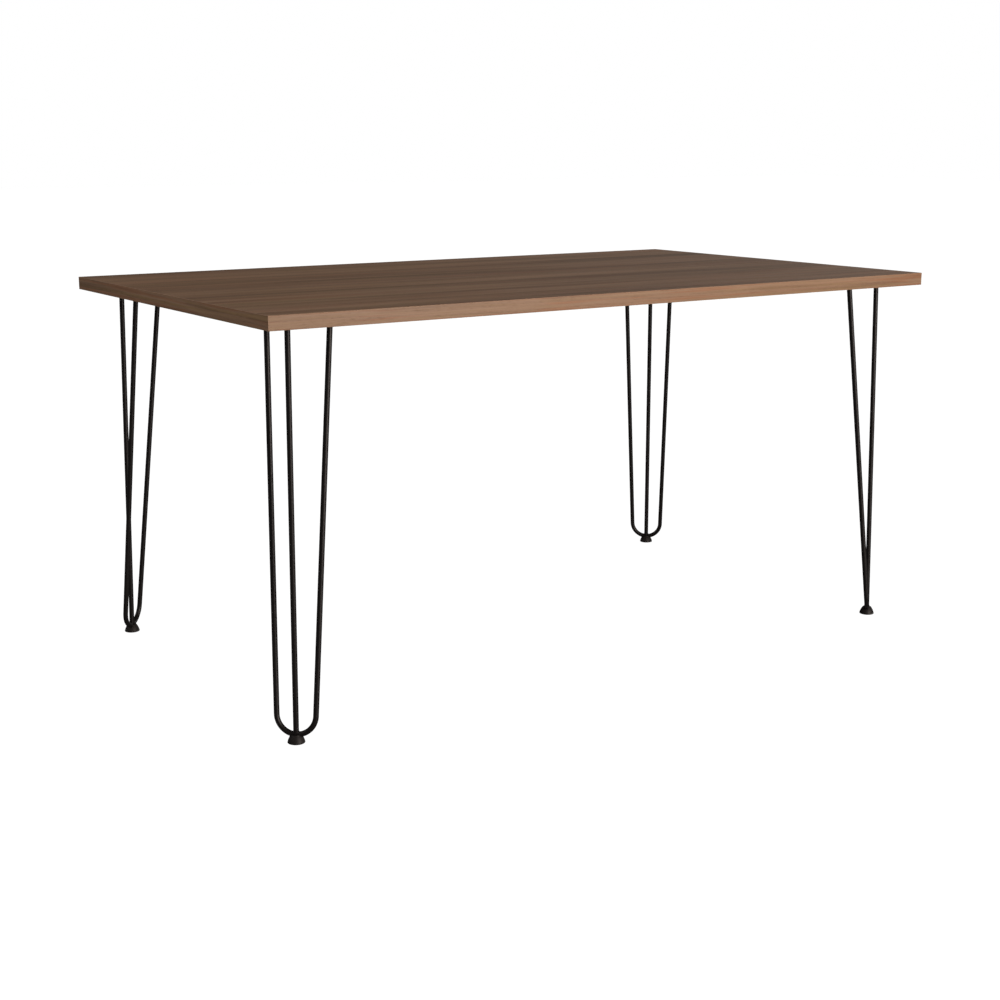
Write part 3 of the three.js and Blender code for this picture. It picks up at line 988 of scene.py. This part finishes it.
class HAIRPIN_OT_screws(bpy.types.Operator):
    """Model the wood screws, with a cross recess and a thread"""

    bl_idname = "hairpin_table.screws"
    bl_label = "Screws"

    def execute(self, context):
        sizes = settings().screws
        low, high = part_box(f"screw_{LEGS[0]}_1")
        head, rise = (high.x - low.x) / 2, high.z - low.z
        shaped = self.screw(sizes, head, rise)
        material = coated_material(
            "Blackened screw", settings().legs.zinc, roughness=0.34, peel=1200.0, depth=0.00002, metallic=0.9
        )
        chance = random.Random(3)
        for name in LEGS:
            for number in range(1, SCREWS_PER_LEG + 1):
                label = f"screw_{name}_{number}"
                low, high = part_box(label)
                spot = Matrix.Translation(((low.x + high.x) / 2, (low.y + high.y) / 2, low.z))
                bm = shaped.copy()
                bm.transform(spot @ Matrix.Rotation(chance.uniform(0, math.tau), 4, "Z"))
                finish_piece(bm, f"wood_{label}", material, [label], SHARP_SCREW)
        shaped.free()
        return {"FINISHED"}

    def screw(self, sizes, head, rise):
        """A screw with its head down at the origin."""
        shank, core = sizes.shank / 2, sizes.core / 2
        cone_top = sizes.rim + head - shank
        bm = turned([
            (0.0, 0.0),
            (head * SCREW_FACE, 0.0),
            (head, sizes.rim * RIM_CHAMFER),
            (head, sizes.rim),
            (shank, cone_top),
            (core, cone_top + (shank - core)),
            (core, rise - sizes.tip),
            (core * POINT_RADIUS, rise - sizes.tip * POINT_HEIGHT),
            (0.0, rise),
        ], SCREW_STEPS)
        for turn in (0.0, math.pi / 2):
            bm = carve(bm, self.slot(sizes, turn))
        self.thread(bm, core, shank, cone_top + (shank - core), rise - sizes.tip, sizes.pitch)
        return bm

    def slot(self, sizes, turn):
        """One arm of the cross recess, narrower at its bottom."""
        bm = bmesh.new()
        made = bmesh.ops.create_cube(bm, size=1.0)
        size = (sizes.slot_span, sizes.slot_width, sizes.slot_depth * 2)
        bmesh.ops.scale(bm, verts=made["verts"], vec=size)
        top = [vert for vert in made["verts"] if vert.co.z > 0]
        bmesh.ops.scale(bm, verts=top, vec=RECESS_BOTTOM)
        bmesh.ops.rotate(bm, verts=bm.verts, matrix=Matrix.Rotation(turn, 3, "Z"))
        return bm

    def thread(self, bm, core, shank, start, end, pitch):
        """A ridge that climbs round the core: a small triangle, spun with a rise."""
        turns = (end - start) / pitch - THREAD_RUNOUT
        half = pitch * THREAD_HALF
        sunk = core * THREAD_SUNK
        corners = ((sunk, -half), (shank, 0.0), (sunk, half))
        verts = [bm.verts.new((radius, 0.0, start + half + height)) for radius, height in corners]
        face = bm.faces.new(verts)
        steps = int(turns * THREAD_STEPS)
        bmesh.ops.spin(
            bm, geom=[face], cent=(0, 0, 0), axis=(0, 0, 1), dvec=(0, 0, pitch * turns / steps),
            angle=math.tau * turns, steps=steps, use_merge=False, use_duplicate=False,
        )


class HAIRPIN_OT_stage(bpy.types.Operator):
    """Set up the camera, the floor and soft studio light"""

    bl_idname = "hairpin_table.stage"
    bl_label = "Stage"

    def execute(self, context):
        stage = settings().stage
        context.scene.view_settings.view_transform = "Standard"
        self.camera(context.scene, stage)
        self.floor(context.scene, stage)
        self.sky(context.scene, stage)
        key = self.soft_light(context.scene, "Key", stage.key_power, stage.key_place, stage.light_size)
        key.color = stage.key_tint
        self.soft_light(context.scene, "Fill", stage.fill_power, stage.fill_place, stage.light_size)
        return {"FINISHED"}

    def camera(self, scene, stage):
        data = bpy.data.cameras.new("Camera")
        data.sensor_width = 36.0
        data.lens = stage.lens
        camera = bpy.data.objects.new("Camera", data)
        camera.location = stage.eye
        camera.rotation_euler = (math.pi / 2 - stage.tilt, 0.0, -stage.heading)
        scene.collection.objects.link(camera)
        scene.camera = camera

    def floor(self, scene, stage):
        bm = bmesh.new()
        bmesh.ops.create_grid(bm, x_segments=1, y_segments=1, size=stage.floor_size / 2)
        mesh = bpy.data.meshes.new("Floor")
        bm.to_mesh(mesh)
        bm.free()
        floor = bpy.data.objects.new("Floor", mesh)
        scene.collection.objects.link(floor)
        mesh.materials.append(self.floor_material(stage))

    def floor_material(self, stage):
        """A pale floor that shows a little brighter to the camera than its light alone makes it."""
        material = bpy.data.materials.new("Floor")
        material.use_nodes = True
        tree = material.node_tree
        shader = tree.nodes["Principled BSDF"]
        fill(shader, Base_Color=opaque(stage.floor_colour), Roughness=0.9, Emission_Color=(1, 1, 1, 1))
        path = node(tree, "ShaderNodeLightPath", (-3, 0))
        glow = maths(tree, "MULTIPLY", path.outputs["Is Camera Ray"], stage.floor_glow, (-2, 0))
        tree.links.new(glow, shader.inputs["Emission Strength"])
        return material

    def sky(self, scene, stage):
        """Even light from all round, with walls for gloss that brighten towards the back right."""
        world = bpy.data.worlds.new("Studio")
        world.use_nodes = True
        tree = world.node_tree
        link = tree.links.new
        soft = tree.nodes["Background"]
        fill(soft, Color=(1, 1, 1, 1))
        seen = node(tree, "ShaderNodeBackground", (0, -1))
        fill(seen, Color=opaque(stage.backdrop), Strength=1.0)
        direction = node(tree, "ShaderNodeTexCoord", (-4, 0))
        toward = node(tree, "ShaderNodeVectorMath", (-3, 0), operation="DOT_PRODUCT")
        toward.inputs[1].default_value = stage.bright_side
        link(direction.outputs["Generated"], toward.inputs[0])
        walls = remap(
            tree, toward.outputs["Value"], low=stage.wall_start, high=stage.wall_full,
            to_low=stage.dim_wall, to_high=stage.bright_wall, place=(-2, 0),
        )
        path = node(tree, "ShaderNodeLightPath", (-2, 2))
        strength = node(tree, "ShaderNodeMix", (-1, 0), data_type="FLOAT")
        strength.inputs[2].default_value = stage.sky
        link(path.outputs["Is Glossy Ray"], strength.inputs[0])
        link(walls, strength.inputs[3])
        link(strength.outputs[0], soft.inputs["Strength"])
        mix = node(tree, "ShaderNodeMixShader", (1, 0))
        link(path.outputs["Is Camera Ray"], mix.inputs[0])
        link(soft.outputs[0], mix.inputs[1])
        link(seen.outputs[0], mix.inputs[2])
        link(mix.outputs[0], tree.nodes["World Output"].inputs["Surface"])
        scene.world = world

    def soft_light(self, scene, name, power, place, size):
        data = bpy.data.lights.new(name, "AREA")
        data.shape = "SQUARE"
        data.size = size
        data.energy = power
        light = bpy.data.objects.new(name, data)
        light.location = place
        aim = Vector((0.0, 0.0, (CAD_LOW.z + CAD_HIGH.z) / 2)) - light.location
        light.rotation_euler = aim.to_track_quat("-Z", "Y").to_euler()
        scene.collection.objects.link(light)
        return data


class HAIRPIN_PT_panel(bpy.types.Panel):
    """Buttons for the table's pieces, in the order they are built"""

    bl_idname = "HAIRPIN_PT_panel"
    bl_label = "Hairpin Table"
    bl_space_type = "VIEW_3D"
    bl_region_type = "UI"
    bl_category = "Hairpin Table"

    def draw(self, context):
        for operator in OPERATORS:
            self.layout.operator(operator.bl_idname, text=operator.bl_label)


SETTINGS = (BoardSettings, LegSettings, ScrewSettings, StageSettings, TableSettings)
OPERATORS = (
    HAIRPIN_OT_stage,
    HAIRPIN_OT_core,
    HAIRPIN_OT_sheets,
    HAIRPIN_OT_edge_bands,
    HAIRPIN_OT_plates,
    HAIRPIN_OT_rods,
    HAIRPIN_OT_welds,
    HAIRPIN_OT_feet,
    HAIRPIN_OT_screws,
)


def register():
    for item in (*SETTINGS, *OPERATORS, HAIRPIN_PT_panel):
        bpy.utils.register_class(item)
    bpy.types.Scene.hairpin_table = bpy.props.PointerProperty(type=TableSettings)


def unregister():
    del bpy.types.Scene.hairpin_table
    for item in reversed((*SETTINGS, *OPERATORS, HAIRPIN_PT_panel)):
        bpy.utils.unregister_class(item)


def main():
    register()
    bpy.ops.hairpin_table.stage()
    bpy.ops.hairpin_table.core()
    bpy.ops.hairpin_table.sheets()
    bpy.ops.hairpin_table.edge_bands()
    bpy.ops.hairpin_table.plates()
    bpy.ops.hairpin_table.rods()
    bpy.ops.hairpin_table.welds()
    bpy.ops.hairpin_table.feet()
    bpy.ops.hairpin_table.screws()


if __name__ == "__main__":
    main()
